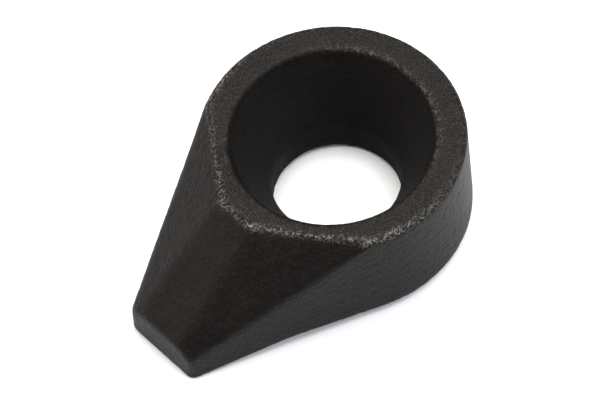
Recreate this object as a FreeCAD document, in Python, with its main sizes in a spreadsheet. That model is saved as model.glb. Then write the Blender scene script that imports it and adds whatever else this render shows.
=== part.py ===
import FreeCAD, Part
import math
import os

import Sketcher

# A one-piece cast clamping finger: a round boss with a conical seat for a screw's head, and a
# tapered nose that presses down on the work.
#
# Millimetres and degrees. The screw's axis is Z, the boss stands on Z = 0 and the nose points
# along +X. Every size is a cell of the Dims sheet, and the features read the cells themselves.

DIMENSIONS = {
    # the boss around the screw
    "boss_radius": 7.28,
    "boss_height": 6.25,
    "mould_draft": 1.0,
    # the hole for the screw: a conical seat above a plain bore
    "mouth_radius": 5.52,
    "seat_slope": 26.5,
    "shank_radius": 3.45,
    # the nose, seen from above
    "nose_reach": 12.95,
    "nose_taper": 23.3,
    "tip_corner": 0.5,
    # the nose's top slope, a narrow strip between the two flank facets
    "slope_start": 6.93,
    "slope_angle": 38.6,
    # the flank facets, swung to either side of the nose
    "flank_start": 6.29,
    "flank_angle": 43.6,
    "flank_swing": 36.3,
    # the nose's underside, which dips so that the toe touches the work first
    "toe_start": 7.0,
    "toe_bend": 8.0,
    "toe_angle": 9.2,
    # soft cast edges
    "crown_round": 0.3,
    "foot_round": 0.12,
    "rim_round": 0.18,
    "seat_round": 0.1,
    # the blank below Z = 0, and how far the cutting outlines reach past the metal
    "blank_depth": 1.5,
    "cut_clear": 4.0,
}

Y_AXIS = FreeCAD.Vector(0, 1, 0)
Z_AXIS = FreeCAD.Vector(0, 0, 1)

# how a sketch's constraints name a line's ends, an arc's centre, the origin and the two axes
FIRST = 1
LAST = 2
CENTRE = 3
ORIGIN = -1
X_LINE = -1
Y_LINE = -2

SMOOTH_ANGLE = 12.0   # faces that meet at less than this many degrees need no rounding
NEAR = 0.01           # how close a point lies to count as on a surface


def make_sheet(doc):
    """Put every driving dimension in a sheet, one aliased cell each."""
    sheet = doc.addObject("Spreadsheet::Sheet", "Dims")
    for row, (alias, value) in enumerate(DIMENSIONS.items(), start=1):
        sheet.set(f"A{row}", alias)
        sheet.set(f"B{row}", str(value))
        sheet.setAlias(f"B{row}", alias)
    doc.recompute()


def origin_plane(body, role):
    """Return one of the body's own origin planes."""
    return next(item for item in body.Origin.OriginFeatures if item.Role == role)


def new_sketch(body, name, role):
    """Start a sketch on one of the body's origin planes."""
    sketch = body.newObject("Sketcher::SketchObject", name)
    sketch.AttachmentSupport = [(origin_plane(body, role), "")]
    sketch.MapMode = "FlatFace"
    return sketch


def point(x, y):
    """Return a point of a sketch."""
    return FreeCAD.Vector(x, y, 0)


def polar(centre, radius, angle):
    """Return the sketch point at an angle, in degrees, around a centre."""
    turn = math.radians(angle)
    return centre + point(radius * math.cos(turn), radius * math.sin(turn))


def arc(centre, radius, first_angle, last_angle):
    """Return a sketch arc that turns anticlockwise between two angles in degrees."""
    circle = Part.Circle(centre, Z_AXIS, radius)
    return Part.ArcOfCircle(circle, math.radians(first_angle), math.radians(last_angle))


def bind(sketch, formula, kind, *geometry, start=1.0):
    """Add a dimension to a sketch and tie it to the sheet."""
    index = sketch.addConstraint(Sketcher.Constraint(kind, *geometry, start))
    sketch.setExpression(f"Constraints[{index}]", formula)


def check_feature(body, before, adds_metal):
    """Recompute, and stop unless the newest feature changed the volume the right way."""
    body.Document.recompute()
    after = body.Shape.Volume
    if after == before or adds_metal != (after > before):
        raise RuntimeError(f"{body.Tip.Name}: the volume went from {before:.2f} to {after:.2f}")
    return after


def draw_outline(body):
    """Draw the teardrop: the boss's arc, two tangent sides and a blunt tip."""
    size = DIMENSIONS
    sketch = new_sketch(body, "Outline", "XY_Plane")
    sketch.setExpression("AttachmentOffset.Base.z", "-Dims.blank_depth")

    square = 90 - size["nose_taper"]
    lean = math.radians(size["nose_taper"])
    flat_start = size["boss_radius"] - size["nose_reach"] * math.sin(lean)
    half_width = flat_start / math.cos(lean) - size["tip_corner"]
    centre = point(0, 0)
    left_corner = point(size["nose_reach"] - size["tip_corner"], half_width)
    right_corner = point(left_corner.x, -half_width)
    left_start = polar(centre, size["boss_radius"], square)
    right_start = polar(centre, size["boss_radius"], -square)
    left_end = polar(left_corner, size["tip_corner"], square)
    right_end = polar(right_corner, size["tip_corner"], -square)
    tip_left = polar(left_corner, size["tip_corner"], 0)
    tip_right = polar(right_corner, size["tip_corner"], 0)

    boss, left, corner_left, tip, corner_right, right = sketch.addGeometry([
        arc(centre, size["boss_radius"], square, 360 - square),
        Part.LineSegment(left_start, left_end),
        arc(left_corner, size["tip_corner"], 0, square),
        Part.LineSegment(tip_right, tip_left),
        arc(right_corner, size["tip_corner"], -square, 0),
        Part.LineSegment(right_end, right_start),
    ])
    sketch.addConstraint([
        Sketcher.Constraint("Coincident", boss, CENTRE, ORIGIN, FIRST),
        Sketcher.Constraint("Tangent", boss, FIRST, left, FIRST),
        Sketcher.Constraint("Tangent", left, LAST, corner_left, LAST),
        Sketcher.Constraint("Tangent", corner_left, FIRST, tip, LAST),
        Sketcher.Constraint("Tangent", tip, FIRST, corner_right, LAST),
        Sketcher.Constraint("Tangent", corner_right, FIRST, right, FIRST),
        Sketcher.Constraint("Tangent", right, LAST, boss, LAST),
        Sketcher.Constraint("Symmetric", tip, FIRST, tip, LAST, X_LINE),
        Sketcher.Constraint("Equal", corner_left, corner_right),
    ])
    spread = "Dims.blank_depth * tan(Dims.mould_draft * 1 deg)"
    bind(sketch, f"Dims.boss_radius + {spread}", "Radius", boss)
    bind(sketch, f"Dims.nose_reach + {spread}", "DistanceX", ORIGIN, FIRST, tip, FIRST)
    bind(sketch, "Dims.tip_corner", "Radius", corner_left)
    bind(sketch, "-Dims.nose_taper * 1 deg", "Angle", left, start=-lean)
    return sketch


def draw_cutter(body, name, start_cell, angle_cell, swing_cell=None):
    """Draw the triangle that leaves a slope falling from a chord of the boss's top face."""
    size = DIMENSIONS
    sketch = new_sketch(body, name, "XZ_Plane")
    if swing_cell:
        sketch.AttachmentOffset = FreeCAD.Placement(point(0, 0), FreeCAD.Rotation(Y_AXIS, 1))
        sketch.setExpression("AttachmentOffset.Rotation.Angle", f"Dims.{swing_cell} * 1 deg")

    fall = math.tan(math.radians(size[angle_cell]))
    chord = point(size[start_cell], size["boss_height"])
    far = size["nose_reach"] + size["cut_clear"]
    above = size["boss_height"] + size["cut_clear"]
    low = point(far, chord.y - (far - chord.x) * fall)
    corner = point(far, above)
    high = point(chord.x - size["cut_clear"] / fall, above)
    slope, side, lid = sketch.addGeometry([
        Part.LineSegment(high, low),
        Part.LineSegment(low, corner),
        Part.LineSegment(corner, high),
    ])
    mark = sketch.addGeometry(Part.Point(chord), True)
    sketch.addConstraint([
        Sketcher.Constraint("Coincident", slope, LAST, side, FIRST),
        Sketcher.Constraint("Coincident", side, LAST, lid, FIRST),
        Sketcher.Constraint("Coincident", lid, LAST, slope, FIRST),
        Sketcher.Constraint("Vertical", side),
        Sketcher.Constraint("Horizontal", lid),
        Sketcher.Constraint("PointOnObject", mark, FIRST, slope),
    ])
    angle = math.radians(size[angle_cell])
    bind(sketch, f"Dims.{start_cell}", "DistanceX", ORIGIN, FIRST, mark, FIRST)
    bind(sketch, "Dims.boss_height", "DistanceY", ORIGIN, FIRST, mark, FIRST)
    bind(sketch, f"-Dims.{angle_cell} * 1 deg", "Angle", slope, start=-angle)
    bind(sketch, "Dims.nose_reach + Dims.cut_clear", "DistanceX", ORIGIN, FIRST, side, LAST)
    bind(sketch, "Dims.boss_height + Dims.cut_clear", "DistanceY", ORIGIN, FIRST, side, LAST)
    return sketch


def draw_underside(body):
    """Draw what lies under the foot: level below the boss, dipping below the nose."""
    size = DIMENSIONS
    sketch = new_sketch(body, "Underside", "XZ_Plane")
    far = size["nose_reach"] + size["cut_clear"]
    dip = math.radians(size["toe_angle"])
    hub = point(size["toe_start"], -size["toe_bend"])
    bend_start = point(size["toe_start"], 0)
    bend_end = polar(hub, size["toe_bend"], 90 - size["toe_angle"])
    heel = point(-far, 0)
    toe = point(far, bend_end.y - (far - bend_end.x) * math.tan(dip))
    under_toe = point(far, -far)
    under_heel = point(-far, -far)
    level, bend, slope, front, floor, back = sketch.addGeometry([
        Part.LineSegment(heel, bend_start),
        arc(hub, size["toe_bend"], 90 - size["toe_angle"], 90),
        Part.LineSegment(bend_end, toe),
        Part.LineSegment(toe, under_toe),
        Part.LineSegment(under_toe, under_heel),
        Part.LineSegment(under_heel, heel),
    ])
    sketch.addConstraint([
        Sketcher.Constraint("Tangent", level, LAST, bend, LAST),
        Sketcher.Constraint("Tangent", bend, FIRST, slope, FIRST),
        Sketcher.Constraint("Coincident", slope, LAST, front, FIRST),
        Sketcher.Constraint("Coincident", front, LAST, floor, FIRST),
        Sketcher.Constraint("Coincident", floor, LAST, back, FIRST),
        Sketcher.Constraint("Coincident", back, LAST, level, FIRST),
        Sketcher.Constraint("PointOnObject", level, FIRST, X_LINE),
        Sketcher.Constraint("PointOnObject", level, LAST, X_LINE),
        Sketcher.Constraint("Vertical", front),
        Sketcher.Constraint("Horizontal", floor),
        Sketcher.Constraint("Vertical", back),
    ])
    reach = "Dims.nose_reach + Dims.cut_clear"
    bind(sketch, "Dims.toe_start", "DistanceX", ORIGIN, FIRST, level, LAST)
    bind(sketch, "Dims.toe_bend", "Radius", bend)
    bind(sketch, "-Dims.toe_angle * 1 deg", "Angle", slope, start=-dip)
    bind(sketch, reach, "DistanceX", ORIGIN, FIRST, front, FIRST)
    bind(sketch, reach, "DistanceX", level, FIRST, ORIGIN, FIRST)
    bind(sketch, reach, "DistanceY", floor, FIRST, ORIGIN, FIRST)
    return sketch


def seat_height():
    """Return the height at which the conical seat meets the plain bore."""
    size = DIMENSIONS
    seat_depth = (size["mouth_radius"] - size["shank_radius"]) / math.tan(
        math.radians(size["seat_slope"]))
    return size["boss_height"] - seat_depth


def draw_screw_hole(body):
    """Draw half of the screw's hole: the plain bore and the conical seat that opens above it."""
    size = DIMENSIONS
    sketch = new_sketch(body, "ScrewHoleProfile", "XZ_Plane")
    slope = math.radians(size["seat_slope"])
    low = -size["blank_depth"] - size["cut_clear"]
    high = size["boss_height"] + size["cut_clear"]
    bore_foot = point(size["shank_radius"], low)
    seat_foot = point(size["shank_radius"], seat_height())
    mouth = point(size["mouth_radius"], size["boss_height"])
    seat_end = point(mouth.x + size["cut_clear"] * math.tan(slope), high)
    floor, bore, seat, lid, axis = sketch.addGeometry([
        Part.LineSegment(point(0, low), bore_foot),
        Part.LineSegment(bore_foot, seat_foot),
        Part.LineSegment(seat_foot, seat_end),
        Part.LineSegment(seat_end, point(0, high)),
        Part.LineSegment(point(0, high), point(0, low)),
    ])
    mark = sketch.addGeometry(Part.Point(mouth), True)
    sketch.addConstraint([
        Sketcher.Constraint("Coincident", floor, LAST, bore, FIRST),
        Sketcher.Constraint("Coincident", bore, LAST, seat, FIRST),
        Sketcher.Constraint("Coincident", seat, LAST, lid, FIRST),
        Sketcher.Constraint("Coincident", lid, LAST, axis, FIRST),
        Sketcher.Constraint("Coincident", axis, LAST, floor, FIRST),
        Sketcher.Constraint("Horizontal", floor),
        Sketcher.Constraint("Vertical", bore),
        Sketcher.Constraint("Horizontal", lid),
        Sketcher.Constraint("PointOnObject", axis, FIRST, Y_LINE),
        Sketcher.Constraint("PointOnObject", axis, LAST, Y_LINE),
        Sketcher.Constraint("PointOnObject", mark, FIRST, seat),
    ])
    reach = "Dims.blank_depth + Dims.cut_clear"
    bind(sketch, "Dims.shank_radius", "DistanceX", ORIGIN, FIRST, bore, FIRST)
    bind(sketch, "Dims.mouth_radius", "DistanceX", ORIGIN, FIRST, mark, FIRST)
    bind(sketch, "Dims.boss_height", "DistanceY", ORIGIN, FIRST, mark, FIRST)
    bind(sketch, "90 deg - Dims.seat_slope * 1 deg", "Angle", seat, start=math.pi / 2 - slope)
    bind(sketch, reach, "DistanceY", bore, FIRST, ORIGIN, FIRST)
    bind(sketch, "Dims.boss_height + Dims.cut_clear", "DistanceY", ORIGIN, FIRST, axis, FIRST)
    return sketch


def add_blank(body):
    """Raise the drafted teardrop from below the foot to the top of the boss."""
    outline = draw_outline(body)
    body.Document.recompute()
    blank = body.newObject("PartDesign::Pad", "Blank")
    blank.Profile = outline
    blank.setExpression("Length", "Dims.boss_height + Dims.blank_depth")
    blank.setExpression("TaperAngle", "-Dims.mould_draft")
    return check_feature(body, 0.0, adds_metal=True)


def cut_across(body, name, sketch, before):
    """Cut a sketched outline right across the body, both ways from its plane."""
    body.Document.recompute()
    cut = body.newObject("PartDesign::Pocket", name)
    cut.Profile = sketch
    cut.Type = "ThroughAll"
    cut.SideType = "Symmetric"
    return check_feature(body, before, adds_metal=False)


def mirror_flank(body, flank, before):
    """Repeat a flank facet on the other side of the nose."""
    mirrored = body.newObject("PartDesign::Mirrored", "OtherFlank")
    mirrored.Originals = [flank]
    mirrored.MirrorPlane = (origin_plane(body, "XZ_Plane"), [""])
    body.Tip = mirrored
    return check_feature(body, before, adds_metal=False)


def turn_screw_hole(body, before):
    """Cut the screw's hole and its conical seat in one turn round the screw's axis."""
    profile = draw_screw_hole(body)
    body.Document.recompute()
    hole = body.newObject("PartDesign::Groove", "ScrewHole")
    hole.Profile = profile
    hole.ReferenceAxis = (profile, ["V_Axis"])
    hole.Angle = 360.0
    return check_feature(body, before, adds_metal=False)


def face_normal(face, place):
    """Return a face's outward normal at a point on it."""
    return face.normalAt(*face.Surface.parameter(place))


def is_smooth(shape, edge):
    """Tell whether the faces that share an edge meet too flatly to need rounding."""
    middle = edge.valueAt((edge.FirstParameter + edge.LastParameter) / 2)
    normals = [face_normal(face, middle) for face in shape.ancestorsOfType(edge, Part.Face)]
    return math.degrees(normals[0].getAngle(normals[-1])) < SMOOTH_ANGLE


def is_foot_edge(edge):
    """Tell whether an edge runs round the underside, where no other sharp edge comes."""
    return all(vertex.Z < NEAR for vertex in edge.Vertexes)


def is_ring(edge, radius_cell, height):
    """Tell whether an edge runs round the screw's axis at a given radius and height."""
    ends = (edge.FirstParameter, edge.LastParameter)
    places = [edge.valueAt(end) for end in (*ends, sum(ends) / 2)]
    return all(
        abs(math.hypot(place.x, place.y) - DIMENSIONS[radius_cell]) < NEAR
        and abs(place.z - height) < NEAR
        for place in places
    )


def round_edges(body, name, radius_cell, wanted, before):
    """Round every sharp edge that passes a test."""
    base = body.Tip
    names = [
        f"Edge{number}"
        for number, edge in enumerate(base.Shape.Edges, start=1)
        if wanted(edge) and not is_smooth(base.Shape, edge)
    ]
    fillet = body.newObject("PartDesign::Fillet", name)
    fillet.Base = (base, names)
    fillet.setExpression("Radius", f"Dims.{radius_cell}")
    return check_feature(body, before, adds_metal=False)


def build_clamp_body(doc):
    """Build the clamping finger as one casting."""
    size = DIMENSIONS
    body = doc.addObject("PartDesign::Body", "ClampBody")
    body.Label = "clamp_body"

    volume = add_blank(body)
    volume = cut_across(body, "UndersideCut", draw_underside(body), volume)
    slope = draw_cutter(body, "SlopeOutline", "slope_start", "slope_angle")
    volume = cut_across(body, "SlopeCut", slope, volume)
    flank = draw_cutter(body, "FlankOutline", "flank_start", "flank_angle", "flank_swing")
    volume = cut_across(body, "FlankCut", flank, volume)
    volume = mirror_flank(body, body.Tip, volume)
    volume = round_edges(body, "CrownRound", "crown_round",
                         lambda edge: not is_foot_edge(edge), volume)
    volume = round_edges(body, "FootRound", "foot_round", is_foot_edge, volume)

    volume = turn_screw_hole(body, volume)
    volume = round_edges(body, "RimRound", "rim_round",
                         lambda edge: is_ring(edge, "mouth_radius", size["boss_height"]), volume)
    round_edges(body, "SeatRound", "seat_round",
                lambda edge: is_ring(edge, "shank_radius", seat_height())
                or is_ring(edge, "shank_radius", 0.0), volume)
    return body


def check_document(doc, bodies):
    """Stop if any object failed, or if a sub-part's shape is missing or invalid."""
    for item in doc.Objects:
        if "Invalid" in item.State or "Error" in item.State:
            raise RuntimeError(f"{item.Name} failed: {item.State}")
    for body in bodies:
        if body.Shape.isNull() or not body.Shape.isValid():
            raise RuntimeError(f"{body.Label} has no valid shape")


def main():
    """Build the document, check it and write one STEP file per sub-part."""
    os.makedirs("parts", exist_ok=True)
    doc = FreeCAD.newDocument("ClampingFinger")
    make_sheet(doc)
    bodies = [build_clamp_body(doc)]
    doc.recompute()
    check_document(doc, bodies)
    for body in bodies:
        body.Shape.exportStep(os.path.join("parts", f"{body.Label}.step"))
        box = body.Shape.BoundBox
        print(f"{body.Label}: {box.XLength:.2f} x {box.YLength:.2f} x {box.ZLength:.2f} mm, "
              f"{body.Shape.Volume:.1f} mm3")


if __name__ == "__main__":
    main()
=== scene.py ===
"""Looks for a black-oxide cast clamping finger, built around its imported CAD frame."""

from __future__ import annotations

import logging
import math
from dataclasses import dataclass, field
from enum import Enum
from typing import Any

import bpy
from mathutils import Matrix, Quaternion, Vector


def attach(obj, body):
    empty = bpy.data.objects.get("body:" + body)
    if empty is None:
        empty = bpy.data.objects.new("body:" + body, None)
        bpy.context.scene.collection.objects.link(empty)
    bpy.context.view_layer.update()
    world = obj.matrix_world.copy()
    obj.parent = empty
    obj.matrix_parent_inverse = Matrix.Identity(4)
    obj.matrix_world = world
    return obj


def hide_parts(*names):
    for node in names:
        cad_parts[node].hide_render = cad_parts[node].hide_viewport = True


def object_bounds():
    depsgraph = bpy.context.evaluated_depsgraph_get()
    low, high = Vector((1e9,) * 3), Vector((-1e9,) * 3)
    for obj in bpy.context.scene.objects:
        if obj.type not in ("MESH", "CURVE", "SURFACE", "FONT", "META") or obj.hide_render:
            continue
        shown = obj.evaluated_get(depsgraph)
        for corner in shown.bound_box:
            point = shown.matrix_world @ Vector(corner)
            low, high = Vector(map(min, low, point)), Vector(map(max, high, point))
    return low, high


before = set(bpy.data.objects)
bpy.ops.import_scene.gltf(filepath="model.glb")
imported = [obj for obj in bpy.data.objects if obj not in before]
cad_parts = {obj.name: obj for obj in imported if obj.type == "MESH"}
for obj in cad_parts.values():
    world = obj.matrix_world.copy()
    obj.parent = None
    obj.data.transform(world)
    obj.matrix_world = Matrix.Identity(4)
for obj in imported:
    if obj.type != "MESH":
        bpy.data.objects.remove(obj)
cad_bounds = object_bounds()

LOG = logging.getLogger("clamping_finger")
MM = 0.001
MM_PER_METRE = 1000.0
CONVEXITY = "convexity"

Colour = tuple[float, float, float]
Band = tuple[float, float]
Inputs = dict[str | int, Any]


class MathOp(Enum):
    """The operations on numbers that shader and geometry expressions use."""

    ADD = "ADD"
    SUBTRACT = "SUBTRACT"
    MULTIPLY = "MULTIPLY"
    DIVIDE = "DIVIDE"
    POWER = "POWER"
    LARGEST = "MAXIMUM"


class VectorOp(Enum):
    """The operations on vectors that the trees use."""

    ADD = "ADD"
    SUBTRACT = "SUBTRACT"
    MULTIPLY = "MULTIPLY"
    SCALE = "SCALE"
    UNIT = "NORMALIZE"
    LENGTH = "LENGTH"
    DOT = "DOT_PRODUCT"


class NodeDesk:
    """Adds nodes to one tree and wires them."""

    def __init__(self, tree: bpy.types.NodeTree) -> None:
        """Keep the tree that the nodes go into.

        Args:
            tree: A shader or geometry node tree.
        """
        self.tree = tree

    def feed(self, node: bpy.types.Node, inputs: Inputs) -> None:
        """Set or link a node's input sockets.

        Args:
            node: The node.
            inputs: A value, a signal or a socket for each input socket, by name or number.
        """
        for name, value in inputs.items():
            socket = node.inputs[name]
            if isinstance(value, Signal):
                self.tree.links.new(value.socket, socket)
            elif isinstance(value, bpy.types.NodeSocket):
                self.tree.links.new(value, socket)
            else:
                socket.default_value = value

    def node(
        self, kind: str, settings: dict[str, Any] | None = None, inputs: Inputs | None = None
    ) -> bpy.types.Node:
        """Add one node.

        Args:
            kind: The node's type.
            settings: The node's own properties, set before its sockets.
            inputs: What goes into its input sockets.

        Returns:
            The new node.
        """
        made = self.tree.nodes.new(kind)
        for name, value in (settings or {}).items():
            setattr(made, name, value)
        self.feed(made, inputs or {})
        return made

    def signal(
        self,
        kind: str,
        settings: dict[str, Any] | None = None,
        inputs: Inputs | None = None,
        output: str | int = 0,
    ) -> Signal:
        """Add one node and wrap one of its outputs.

        Args:
            kind: The node's type.
            settings: The node's own properties.
            inputs: What goes into its input sockets.
            output: The name or number of the output to wrap.

        Returns:
            The output, ready for arithmetic.
        """
        made = self.node(kind, settings, inputs)
        return Signal(self, made.outputs[output])

    def vector(self, operation: VectorOp, inputs: Inputs) -> bpy.types.NodeSocket:
        """Add one Vector Math node that gives a vector.

        Args:
            operation: What the node works out.
            inputs: What goes into its input sockets.

        Returns:
            The vector.
        """
        made = self.node("ShaderNodeVectorMath", {"operation": operation.value}, inputs)
        return made.outputs["Vector"]

    def measure(self, operation: VectorOp, inputs: Inputs) -> Signal:
        """Add one Vector Math node that gives a number.

        Args:
            operation: What the node works out.
            inputs: What goes into its input sockets.

        Returns:
            The number.
        """
        settings = {"operation": operation.value}
        return self.signal("ShaderNodeVectorMath", settings, inputs, output="Value")


@dataclass(frozen=True)
class Signal:
    """A number that varies over a surface, with Python's arithmetic as Math nodes."""

    desk: NodeDesk
    socket: bpy.types.NodeSocket

    def _math(self, operation: MathOp, first: Any, second: Any) -> Signal:
        """Add one Math node.

        Args:
            operation: What the node works out.
            first: Its first value.
            second: Its second value.

        Returns:
            The node's result.
        """
        settings = {"operation": operation.value}
        return self.desk.signal("ShaderNodeMath", settings, {0: first, 1: second})

    def __add__(self, other: Any) -> Signal:
        """Return self + other."""
        return self._math(MathOp.ADD, self, other)

    def __radd__(self, other: Any) -> Signal:
        """Return other + self."""
        return self._math(MathOp.ADD, other, self)

    def __sub__(self, other: Any) -> Signal:
        """Return self - other."""
        return self._math(MathOp.SUBTRACT, self, other)

    def __rsub__(self, other: Any) -> Signal:
        """Return other - self."""
        return self._math(MathOp.SUBTRACT, other, self)

    def __mul__(self, other: Any) -> Signal:
        """Return self * other."""
        return self._math(MathOp.MULTIPLY, self, other)

    def __rmul__(self, other: Any) -> Signal:
        """Return other * self."""
        return self._math(MathOp.MULTIPLY, other, self)

    def __truediv__(self, other: Any) -> Signal:
        """Return self / other."""
        return self._math(MathOp.DIVIDE, self, other)

    def __rtruediv__(self, other: Any) -> Signal:
        """Return other / self."""
        return self._math(MathOp.DIVIDE, other, self)

    def __pow__(self, other: Any) -> Signal:
        """Return self to the power of other."""
        return self._math(MathOp.POWER, self, other)

    def or_larger(self, other: Any) -> Signal:
        """Return self or other, whichever is larger."""
        return self._math(MathOp.LARGEST, self, other)

    def ramp(self, low: Any, high: Any) -> Signal:
        """Rise smoothly from 0 to 1 between two values.

        Args:
            low: Where the result leaves 0.
            high: Where the result reaches 1.

        Returns:
            The eased result, held at 0 and 1 outside.
        """
        return self.desk.signal(
            "ShaderNodeMapRange",
            {"interpolation_type": "SMOOTHSTEP"},
            {"Value": self, "From Min": low, "From Max": high},
        )


def direction(azimuth: float, elevation: float) -> Vector:
    """Return the unit vector at an azimuth from +X and an elevation, both in degrees.

    Args:
        azimuth: The angle from +X towards +Y.
        elevation: The angle above the horizon.

    Returns:
        The direction.
    """
    turn, rise = math.radians(azimuth), math.radians(elevation)
    level = math.cos(rise)
    return Vector((math.cos(turn) * level, math.sin(turn) * level, math.sin(rise)))


class Finish:
    """A base for the procedural finishes, with the nodes that they share."""

    def start(self, name: str) -> tuple[bpy.types.Material, NodeDesk, bpy.types.Node]:
        """Make an empty material with a Principled shader.

        Args:
            name: The material's name.

        Returns:
            The material, a desk for its tree and the Principled node.
        """
        material = bpy.data.materials.new(name)
        material.use_nodes = True
        material.node_tree.nodes.clear()
        desk = NodeDesk(material.node_tree)
        shader = desk.node("ShaderNodeBsdfPrincipled")
        desk.node("ShaderNodeOutputMaterial", inputs={"Surface": shader.outputs["BSDF"]})
        return material, desk, shader

    def place(self, desk: NodeDesk) -> bpy.types.NodeSocket:
        """Return the place on the piece, in metres."""
        return desk.node("ShaderNodeTexCoord").outputs["Object"]

    def height(self, desk: NodeDesk, place: bpy.types.NodeSocket) -> Signal:
        """Return how high a place is, in metres."""
        return desk.signal("ShaderNodeSeparateXYZ", inputs={"Vector": place}, output="Z")

    def flat(self, desk: NodeDesk, place: bpy.types.NodeSocket) -> bpy.types.NodeSocket:
        """Return a place without its height."""
        return desk.vector(VectorOp.MULTIPLY, {0: place, 1: (1.0, 1.0, 0.0)})

    def noise(
        self,
        desk: NodeDesk,
        place: bpy.types.NodeSocket,
        grain_mm: float,
        detail: float = 2.0,
        roughness: float = 0.5,
    ) -> Signal:
        """Return a cloudy pattern from 0 to 1.

        Args:
            desk: The desk of the material's tree.
            place: The coordinate that the pattern follows.
            grain_mm: How far apart its blotches are, in millimetres.
            detail: How many finer layers it has.
            roughness: How strong the finer layers are.

        Returns:
            The pattern.
        """
        return desk.signal(
            "ShaderNodeTexNoise",
            {"noise_dimensions": "3D"},
            {
                "Vector": place,
                "Scale": MM_PER_METRE / grain_mm,
                "Detail": detail,
                "Roughness": roughness,
            },
        )

    def mix(self, desk: NodeDesk, share: Signal, first: Any, second: Any) -> bpy.types.NodeSocket:
        """Mix two colours.

        Args:
            desk: The desk of the material's tree.
            share: How much of the second colour there is.
            first: A colour or a colour socket.
            second: A colour or a colour socket.

        Returns:
            The mixed colour.
        """
        values = [(*item, 1.0) if isinstance(item, tuple) else item for item in (first, second)]
        made = desk.node(
            "ShaderNodeMix", {"data_type": "RGBA"}, {"Factor": share, 6: values[0], 7: values[1]}
        )
        return made.outputs[2]


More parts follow.
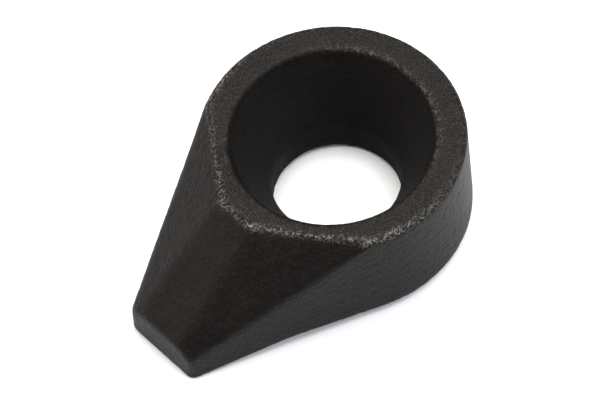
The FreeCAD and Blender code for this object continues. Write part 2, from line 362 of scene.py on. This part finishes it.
@dataclass(frozen=True)
class BlackOxideSkin(Finish):
    """Blackened cast steel: a grainy dark skin that has worn through along its top edges.

    A band holds the two values between which a pattern rises from nothing to its full strength.
    """

    name: str = "black_oxide_skin"
    cool_black: Colour = (0.0026, 0.0023, 0.0021)
    warm_black: Colour = (0.0042, 0.0031, 0.0025)
    dust: Colour = (0.0075, 0.0067, 0.0060)
    seat_grey: Colour = (0.0047, 0.0046, 0.0049)
    bare_steel: Colour = (0.20, 0.191, 0.178)
    rust: Colour = (0.026, 0.013, 0.008)

    # Patterns, by how far apart their blotches are.
    blotch_mm: float = 2.6
    blotch_band: Band = (0.4, 0.6)
    pebble_mm: float = 0.30
    bead_mm: float = 0.17
    grain_mm: float = 0.14
    fine_grain_mm: float = 0.075
    rich_detail: float = 3.0
    grain_harshness: float = 0.6
    ripple_mm: float = 0.16
    ripple_stretch: tuple[float, float, float] = (0.12, 0.12, 1.0)

    # Sheen, and the relief that only bends the light.
    sheen_level: float = 0.09
    skin_roughness: float = 0.33
    grain_dullness: float = 0.14
    seat_dullness: float = 0.42
    steel_roughness_drop: float = 0.10
    steel_metallic: float = 0.9
    bump_mm: float = 0.085
    grain_relief: float = 0.6
    pebble_relief: float = 0.45
    fine_relief: float = 0.3
    ripple_relief: float = 0.45

    # Dust and the seat's grey, with the seat's radii in metres.
    dust_share: float = 0.5
    dust_band: Band = (0.45, 0.70)
    seat_share: float = 0.6
    seat_band: Band = (0.00496, 0.00558)

    # Wear along the top edges: heights and radii in metres, azimuths in degrees.
    wear_band: Band = (0.07, 0.74)
    handled_band: Band = (0.0059, 0.00615)
    outer_band: Band = (0.006076, 0.006324)
    bead_share: float = 0.5
    fleck_band: Band = (0.46, 0.66)
    front_azimuth: float = 2.0
    front_band: Band = (-0.8, 1.05)
    front_least: float = 0.05
    back_azimuth: float = 172.0
    back_band: Band = (0.2, 0.9)
    back_least: float = 0.06
    back_gain: float = 0.24

    # Bright grains that are scattered over the skin, thickest on the land round the seat.
    glint: float = 0.03
    top_glint: float = 0.10
    glint_band: Band = (0.50, 0.70)
    land_band: Band = (0.00555, 0.00575)

    # Rusty spots low in the bore, in metres and degrees.
    rust_azimuth: float = -72.0
    rust_side_band: Band = (0.975, 0.995)
    rust_height_band: Band = (0.0010, 0.0018)
    rust_radius_band: Band = (0.0036, 0.0040)
    rust_spot_band: Band = (0.44, 0.58)

    def material(self) -> bpy.types.Material:
        """Build the finish.

        Returns:
            The finished material.
        """
        material, desk, shader = self.start(self.name)
        place = self.place(desk)
        grain = self.noise(desk, place, self.grain_mm, self.rich_detail, self.grain_harshness)
        fine = self.noise(desk, place, self.fine_grain_mm)
        pebbles = self.noise(desk, place, self.pebble_mm)
        inside = 1.0 - self._radius(desk, place).ramp(*self.seat_band)
        wear = self._wear(desk, place, fine)

        stretched = desk.vector(VectorOp.MULTIPLY, {0: place, 1: self.ripple_stretch})
        ripples = self.noise(desk, stretched, self.ripple_mm)
        relief = grain * self.grain_relief + pebbles * self.pebble_relief
        relief = relief + fine * self.fine_relief + ripples * inside * self.ripple_relief
        bump_inputs = {"Strength": 1.0, "Distance": self.bump_mm * MM, "Height": relief}
        bump = desk.node("ShaderNodeBump", inputs=bump_inputs)

        roughness = self.skin_roughness + self.grain_dullness * grain
        roughness = roughness + self.seat_dullness * inside - self.steel_roughness_drop * wear
        desk.feed(
            shader,
            {
                "Base Color": self._colour(desk, place, pebbles, inside, wear),
                "Roughness": roughness,
                "Metallic": wear * self.steel_metallic,
                "Normal": bump.outputs["Normal"],
                "Specular IOR Level": self.sheen_level,
            },
        )
        return material

    def _colour(
        self,
        desk: NodeDesk,
        place: bpy.types.NodeSocket,
        pebbles: Signal,
        inside: Signal,
        wear: Signal,
    ) -> bpy.types.NodeSocket:
        """Lay oxide, dust, the seat's grey, bare steel and rust over each other.

        Args:
            desk: The desk of the material's tree.
            place: Where each place is.
            pebbles: The pattern that gathers the dust and the rust.
            inside: The share of the seat's own look.
            wear: The share of bare steel.

        Returns:
            The colour.
        """
        blotches = self.noise(desk, place, self.blotch_mm, self.rich_detail)
        blotches = blotches.ramp(*self.blotch_band)
        oxide = self.mix(desk, blotches, self.cool_black, self.warm_black)
        dusting = pebbles.ramp(*self.dust_band) * self.dust_share
        dusty = self.mix(desk, dusting, oxide, self.dust)
        seated = self.mix(desk, inside * self.seat_share, dusty, self.seat_grey)
        worn = self.mix(desk, wear, seated, self.bare_steel)
        return self.mix(desk, self._rust(desk, place, pebbles), worn, self.rust)

    def _facing(self, desk: NodeDesk, place: bpy.types.NodeSocket, azimuth: float) -> Signal:
        """Tell how far a place lies towards an azimuth, seen from the screw's axis.

        Args:
            desk: The desk of the material's tree.
            place: Where the place is.
            azimuth: The angle from +X towards +Y, in degrees.

        Returns:
            The cosine of the angle between them, from -1 to 1.
        """
        unit = desk.vector(VectorOp.UNIT, {0: self.flat(desk, place)})
        return desk.measure(VectorOp.DOT, {0: unit, 1: tuple(direction(azimuth, 0.0))})

    def _radius(self, desk: NodeDesk, place: bpy.types.NodeSocket) -> Signal:
        """Return how far a place is from the screw's axis, in metres."""
        return desk.measure(VectorOp.LENGTH, {0: self.flat(desk, place)})

    def _wear(self, desk: NodeDesk, place: bpy.types.NodeSocket, fine: Signal) -> Signal:
        """Mark where handling has rubbed the top edges down to bright steel.

        Args:
            desk: The desk of the material's tree.
            place: Where each place is.
            fine: The fine grain, which breaks the wear up into beads.

        Returns:
            The share of bare steel.
        """
        convex = desk.signal("ShaderNodeAttribute", {"attribute_name": CONVEXITY}, output="Fac")
        handled = self.height(desk, place).ramp(*self.handled_band)
        radius = self._radius(desk, place)
        outer = radius.ramp(*self.outer_band)
        towards_front = self._facing(desk, place, self.front_azimuth).ramp(*self.front_band)
        front = self.front_least + (1.0 - self.front_least) * towards_front
        towards_back = self._facing(desk, place, self.back_azimuth).ramp(*self.back_band)
        back = self.back_least + self.back_gain * towards_back
        region = outer * front + (1.0 - outer) * back
        beads = self.noise(desk, place, self.bead_mm)
        flecks = beads * self.bead_share + fine * (1.0 - self.bead_share)
        flecks = flecks.ramp(*self.fleck_band)
        rubbed = convex.ramp(*self.wear_band) * flecks * handled * region
        glints = fine.ramp(*self.glint_band) * (self.glint + self.top_glint * handled)
        return rubbed + (1.0 - rubbed) * glints * radius.ramp(*self.land_band)

    def _rust(self, desk: NodeDesk, place: bpy.types.NodeSocket, pebbles: Signal) -> Signal:
        """Mark a few rusty spots low in the bore.

        Args:
            desk: The desk of the material's tree.
            place: Where each place is.
            pebbles: The pattern that breaks the rust up into spots.

        Returns:
            The share of rust.
        """
        side = self._facing(desk, place, self.rust_azimuth).ramp(*self.rust_side_band)
        low = 1.0 - self.height(desk, place).ramp(*self.rust_height_band)
        narrow = 1.0 - self._radius(desk, place).ramp(*self.rust_radius_band)
        return side * low * narrow * pebbles.ramp(*self.rust_spot_band)


@dataclass(frozen=True)
class StudioPaper(Finish):
    """Plain pale paper under the object."""

    name: str = "studio_paper"
    tone: Colour = (0.75, 0.77, 0.80)
    roughness: float = 0.9
    fibre_mm: float = 6.0
    fibre_shade: float = 0.98

    def material(self) -> bpy.types.Material:
        """Build the finish.

        Returns:
            The finished material.
        """
        material, desk, shader = self.start(self.name)
        fibres = self.noise(desk, self.place(desk), self.fibre_mm)
        darker = tuple(channel * self.fibre_shade for channel in self.tone)
        colour = self.mix(desk, fibres, self.tone, darker)
        desk.feed(shader, {"Base Color": colour, "Roughness": self.roughness})
        return material


@dataclass(frozen=True)
class CastSkinTree:
    """A geometry tree that measures how convex a surface is and gives it a cast relief."""

    name: str = "cast_skin"
    blur_steps: int = 22
    spread_steps: int = 7
    convex_span_mm: float = 0.10
    pebble_mm: float = 0.55
    pebble_depth_mm: float = 0.022
    pebble_seed: float = 3.0
    pit_mm: float = 0.32
    pit_depth_mm: float = 0.018
    pit_seed: float = 11.0
    pit_band: Band = (0.45, 0.7)
    detail: float = 2.0
    softness: float = 0.2
    round_softness: float = 0.9
    nose_start_mm: float = 3.0
    nose_full_mm: float = 5.5
    seat_full_mm: float = 4.0
    seat_end_mm: float = 4.6
    foot_start_mm: float = 0.6
    foot_full_mm: float = 1.2

    def values(self) -> dict[str, int | float]:
        """Return the tree's numbers by the name of the input that each goes into."""
        return {
            "Blur Steps": self.blur_steps,
            "Spread Steps": self.spread_steps,
            "Convex Span": self.convex_span_mm,
            "Pebble Size": self.pebble_mm,
            "Pebble Depth": self.pebble_depth_mm,
            "Pebble Seed": self.pebble_seed,
            "Pit Size": self.pit_mm,
            "Pit Depth": self.pit_depth_mm,
            "Pit Seed": self.pit_seed,
            "Softness": self.softness,
            "Round Softness": self.round_softness,
            "Nose Start": self.nose_start_mm,
            "Nose Full": self.nose_full_mm,
            "Seat Full": self.seat_full_mm,
            "Seat End": self.seat_end_mm,
            "Foot Start": self.foot_start_mm,
            "Foot Full": self.foot_full_mm,
        }

    def build(self) -> bpy.types.NodeTree:
        """Build the tree, whose lengths are all in millimetres.

        Returns:
            The geometry node tree.
        """
        tree = bpy.data.node_groups.new(self.name, "GeometryNodeTree")
        self._add_sockets(tree)
        desk = NodeDesk(tree)
        given = desk.node("NodeGroupInput").outputs
        position = desk.node("GeometryNodeInputPosition").outputs["Position"]
        normal = desk.node("GeometryNodeInputNormal").outputs["Normal"]

        blurred = self._blur(desk, "FLOAT_VECTOR", position, given["Blur Steps"])
        sunk = desk.vector(VectorOp.SUBTRACT, {0: position, 1: blurred})
        outwards = desk.measure(VectorOp.DOT, {0: sunk, 1: normal})
        convex = outwards / given["Convex Span"]
        spread = self._blur(desk, "FLOAT", convex, given["Spread Steps"])
        marked = desk.node(
            "GeometryNodeStoreNamedAttribute",
            {"data_type": "FLOAT", "domain": "POINT"},
            {"Geometry": given["Geometry"], "Name": CONVEXITY, "Value": spread},
        )

        rounding = 0.0 - self._rounding(desk, position, given)
        sink = 0.0 - self._sink(desk, position, given)
        soften = desk.vector(VectorOp.SCALE, {0: sunk, "Scale": rounding})
        relief = desk.vector(VectorOp.SCALE, {0: normal, "Scale": sink})
        offset = desk.vector(VectorOp.ADD, {0: soften, 1: relief})
        moved = desk.node(
            "GeometryNodeSetPosition",
            inputs={"Geometry": marked.outputs["Geometry"], "Offset": offset},
        )
        real = desk.node(
            "GeometryNodeRealizeInstances", inputs={"Geometry": moved.outputs["Geometry"]}
        )
        dressed = desk.node(
            "GeometryNodeSetMaterial",
            inputs={"Geometry": real.outputs["Geometry"], "Material": given["Skin"]},
        )
        desk.node("NodeGroupOutput", inputs={"Geometry": dressed.outputs["Geometry"]})
        return tree

    def _add_sockets(self, tree: bpy.types.NodeTree) -> None:
        """Give the tree its named inputs and its output.

        Args:
            tree: The geometry node tree.
        """
        add = tree.interface.new_socket
        add("Geometry", in_out="INPUT", socket_type="NodeSocketGeometry")
        for label, value in self.values().items():
            kind = "NodeSocketInt" if isinstance(value, int) else "NodeSocketFloat"
            add(label, in_out="INPUT", socket_type=kind)
        add("Skin", in_out="INPUT", socket_type="NodeSocketMaterial")
        add("Geometry", in_out="OUTPUT", socket_type="NodeSocketGeometry")

    def _blur(
        self, desk: NodeDesk, kind: str, value: Any, steps: bpy.types.NodeSocket
    ) -> bpy.types.NodeSocket:
        """Even a value out over its neighbours.

        Args:
            desk: The desk of the tree.
            kind: The value's data type.
            value: What is evened out.
            steps: How many times it spreads to the next points.

        Returns:
            The evened value.
        """
        inputs = {"Value": value, "Iterations": steps}
        blurred = desk.node("GeometryNodeBlurAttribute", {"data_type": kind}, inputs)
        return blurred.outputs["Value"]

    def _sink(
        self, desk: NodeDesk, position: bpy.types.NodeSocket, given: bpy.types.NodeOutputs
    ) -> Signal:
        """Work out how far the cast relief sinks below the solid's surface.

        Args:
            desk: The desk of the tree.
            position: Where each point is.
            given: The tree's inputs.

        Returns:
            The depth, in millimetres.
        """
        pebbles = self._noise(desk, position, given["Pebble Size"], given["Pebble Seed"])
        pits = self._noise(desk, position, given["Pit Size"], given["Pit Seed"])
        return pebbles * given["Pebble Depth"] + pits.ramp(*self.pit_band) * given["Pit Depth"]

    def _rounding(
        self, desk: NodeDesk, position: bpy.types.NodeSocket, given: bpy.types.NodeOutputs
    ) -> Signal:
        """Work out how far the edges are rounded: most on the nose and low in the seat.

        Args:
            desk: The desk of the tree.
            position: Where each point is.
            given: The tree's inputs.

        Returns:
            The share of the way to the blurred surface.
        """
        across = desk.node("ShaderNodeSeparateXYZ", inputs={"Vector": position}).outputs
        along, aside = Signal(desk, across["X"]), Signal(desk, across["Y"])
        radius = (along * along + aside * aside) ** 0.5
        nose = along.ramp(given["Nose Start"], given["Nose Full"])
        seat = 1.0 - radius.ramp(given["Seat Full"], given["Seat End"])
        foot = Signal(desk, across["Z"]).ramp(given["Foot Start"], given["Foot Full"])
        rounded = nose.or_larger(seat) * foot
        least = Signal(desk, given["Softness"])
        return least + (Signal(desk, given["Round Softness"]) - least) * rounded

    def _noise(
        self,
        desk: NodeDesk,
        position: bpy.types.NodeSocket,
        size: bpy.types.NodeSocket,
        seed: bpy.types.NodeSocket,
    ) -> Signal:
        """Return a cloudy pattern with a fixed seed.

        Args:
            desk: The desk of the tree.
            position: Where each point is.
            size: How far apart the blotches are.
            seed: The pattern's fourth coordinate.

        Returns:
            The pattern, from 0 to 1.
        """
        scale = 1.0 / Signal(desk, size)
        return desk.signal(
            "ShaderNodeTexNoise",
            {"noise_dimensions": "4D"},
            {"Vector": position, "W": seed, "Scale": scale, "Detail": self.detail},
        )


@dataclass
class ClampCasting:
    """The clamping finger's one casting, re-meshed finely and given its cast skin."""

    node: str = "clamp_body"
    voxel_mm: float = 0.105
    weld_mm: float = 0.00105
    skin: BlackOxideSkin = field(default_factory=BlackOxideSkin)
    relief: CastSkinTree = field(default_factory=CastSkinTree)

    def build(self) -> bpy.types.Object:
        """Build the piece from the frame's own solid.

        Returns:
            The casting, in place of its CAD node.
        """
        piece = self.dress(self.shape())
        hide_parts(self.node)
        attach(piece, "root")
        return piece

    def shape(self) -> bpy.types.Object:
        """Copy the solid in millimetres and re-mesh it evenly.

        Returns:
            A working object, with its mesh in millimetres.
        """
        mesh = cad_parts[self.node].data.copy()
        mesh.transform(Matrix.Scale(MM_PER_METRE, 4))
        work = bpy.data.objects.new("casting_work", mesh)
        bpy.context.scene.collection.objects.link(work)
        weld = work.modifiers.new("weld", "WELD")
        weld.merge_threshold = self.weld_mm
        remesh = work.modifiers.new("even_mesh", "REMESH")
        remesh.mode = "VOXEL"
        remesh.voxel_size = self.voxel_mm
        remesh.use_smooth_shade = True
        return work

    def dress(self, work: bpy.types.Object) -> bpy.types.Object:
        """Give the working object its relief and its finish, and keep the result.

        Args:
            work: The working object, in millimetres.

        Returns:
            A plain mesh object, in metres.
        """
        tree = self.relief.build()
        modifier = work.modifiers.new("cast_skin", "NODES")
        modifier.node_group = tree
        values = {**self.relief.values(), "Skin": self.skin.material()}
        for item in tree.interface.items_tree:
            if item.in_out == "INPUT" and item.name in values:
                modifier[item.identifier] = values[item.name]
        depsgraph = bpy.context.evaluated_depsgraph_get()
        mesh = bpy.data.meshes.new_from_object(work.evaluated_get(depsgraph))
        bpy.data.objects.remove(work)
        mesh.transform(Matrix.Scale(MM, 4))
        mesh.shade_smooth()
        piece = bpy.data.objects.new("casting", mesh)
        bpy.context.scene.collection.objects.link(piece)
        return piece


@dataclass
class Floor:
    """A wide sheet of pale paper that touches the toe and the heel of the casting."""

    span: float = 1.6
    low: Vector = field(default_factory=lambda: Vector(cad_bounds[0]))
    high: Vector = field(default_factory=lambda: Vector(cad_bounds[1]))
    paper: StudioPaper = field(default_factory=StudioPaper)

    def build(self) -> bpy.types.Object:
        """Lay the paper so that the casting rests on it as it would on a table.

        Returns:
            The floor.
        """
        floor = self.dress(self.shape())
        return floor

    def shape(self) -> bpy.types.Object:
        """Make the sheet, which slopes down from the box's low end to its high end.

        The heel is at the low end, level with the origin, and the toe reaches the box's bottom.

        Returns:
            The bare sheet.
        """
        drop = self.low.z
        slope = drop / (self.high.x - self.low.x)
        half = self.span / 2
        corners = [
            (x, y, (x - self.low.x) * slope)
            for x, y in ((-half, -half), (half, -half), (half, half), (-half, half))
        ]
        mesh = bpy.data.meshes.new("paper")
        mesh.from_pydata(corners, [], [(0, 1, 2, 3)])
        floor = bpy.data.objects.new("paper", mesh)
        bpy.context.scene.collection.objects.link(floor)
        return floor

    def dress(self, floor: bpy.types.Object) -> bpy.types.Object:
        """Give the sheet its finish and return it."""
        floor.data.materials.append(self.paper.material())
        return floor


@dataclass(frozen=True)
class SoftBox:
    """A rectangular studio light that faces the object."""

    name: str
    azimuth: float
    elevation: float
    distance: float
    width: float
    height: float
    power: float
    tint: Colour

    def build(self, aim: Vector) -> bpy.types.Object:
        """Hang the light.

        Args:
            aim: The point that it faces.

        Returns:
            The light.
        """
        data = bpy.data.lights.new(self.name, "AREA")
        data.shape = "RECTANGLE"
        data.size = self.width
        data.size_y = self.height
        data.energy = self.power
        data.color = self.tint
        light = bpy.data.objects.new(self.name, data)
        towards = direction(self.azimuth, self.elevation)
        light.location = aim + towards * self.distance
        light.rotation_mode = "QUATERNION"
        light.rotation_quaternion = towards.to_track_quat("Z", "Y")
        bpy.context.scene.collection.objects.link(light)
        return light


@dataclass(frozen=True)
class Camera:
    """A long lens that looks down at the nose from one side."""

    azimuth: float = 51.735
    elevation: float = 57.068
    roll: float = -5.936
    distance: float = 0.2663
    lens: float = 300.9
    sensor: float = 36.0
    clip_reach: float = 100.0
    aim: tuple[float, float, float] = (0.002584, -0.000002, 0.002807)

    def build(self) -> bpy.types.Object:
        """Set up the camera and make it the scene's own.

        Returns:
            The camera.
        """
        data = bpy.data.cameras.new("camera")
        data.lens = self.lens
        data.sensor_width = self.sensor
        data.clip_start = self.distance / self.clip_reach
        data.clip_end = self.distance * self.clip_reach
        camera = bpy.data.objects.new("camera", data)
        back = direction(self.azimuth, self.elevation)
        upright = back.to_track_quat("Z", "Y")
        camera.location = Vector(self.aim) + back * self.distance
        camera.rotation_mode = "QUATERNION"
        camera.rotation_quaternion = upright @ Quaternion((0, 0, 1), math.radians(self.roll))
        bpy.context.scene.collection.objects.link(camera)
        bpy.context.scene.camera = camera
        return camera


@dataclass
class Studio:
    """The paper, the lights, the dim room and the camera."""

    room: Colour = (0.10, 0.10, 0.10)
    room_strength: float = 1.0
    boxes: tuple[SoftBox, ...] = (
        SoftBox("overhead_box", -128.0, 76.0, 0.30, 0.36, 0.36, 2.35, (1.0, 0.965, 0.91)),
        SoftBox("left_box", -46.0, 24.0, 0.35, 0.32, 0.20, 0.92, (1.0, 0.92, 0.87)),
        SoftBox("right_box", 118.0, 42.0, 0.33, 0.275, 0.275, 1.2, (0.97, 0.97, 1.0)),
    )

    def build(self) -> list[bpy.types.Object]:
        """Build the studio round the object.

        Returns:
            The floor, the lights and the camera.
        """
        low, high = cad_bounds
        middle = (Vector(low) + Vector(high)) / 2
        floor = Floor().build()
        lights = [box.build(middle) for box in self.boxes]
        camera = Camera().build()
        self._light_room()
        bpy.context.scene.view_settings.view_transform = "Standard"
        return [floor, *lights, camera]

    def _light_room(self) -> None:
        """Give the room behind the lights an even, dim tone."""
        world = bpy.data.worlds.new("room")
        world.use_nodes = True
        background = world.node_tree.nodes["Background"]
        background.inputs["Color"].default_value = (*self.room, 1.0)
        background.inputs["Strength"].default_value = self.room_strength
        bpy.context.scene.world = world


def main() -> None:
    """Build the casting and the studio, and report each piece."""
    logging.basicConfig(level=logging.INFO, format="%(name)s: %(message)s")
    casting = ClampCasting().build()
    LOG.info("%s: %d faces, rides on root", casting.name, len(casting.data.polygons))
    for item in Studio().build():
        LOG.info("%s: in place", item.name)


if __name__ == "__main__":
    main()
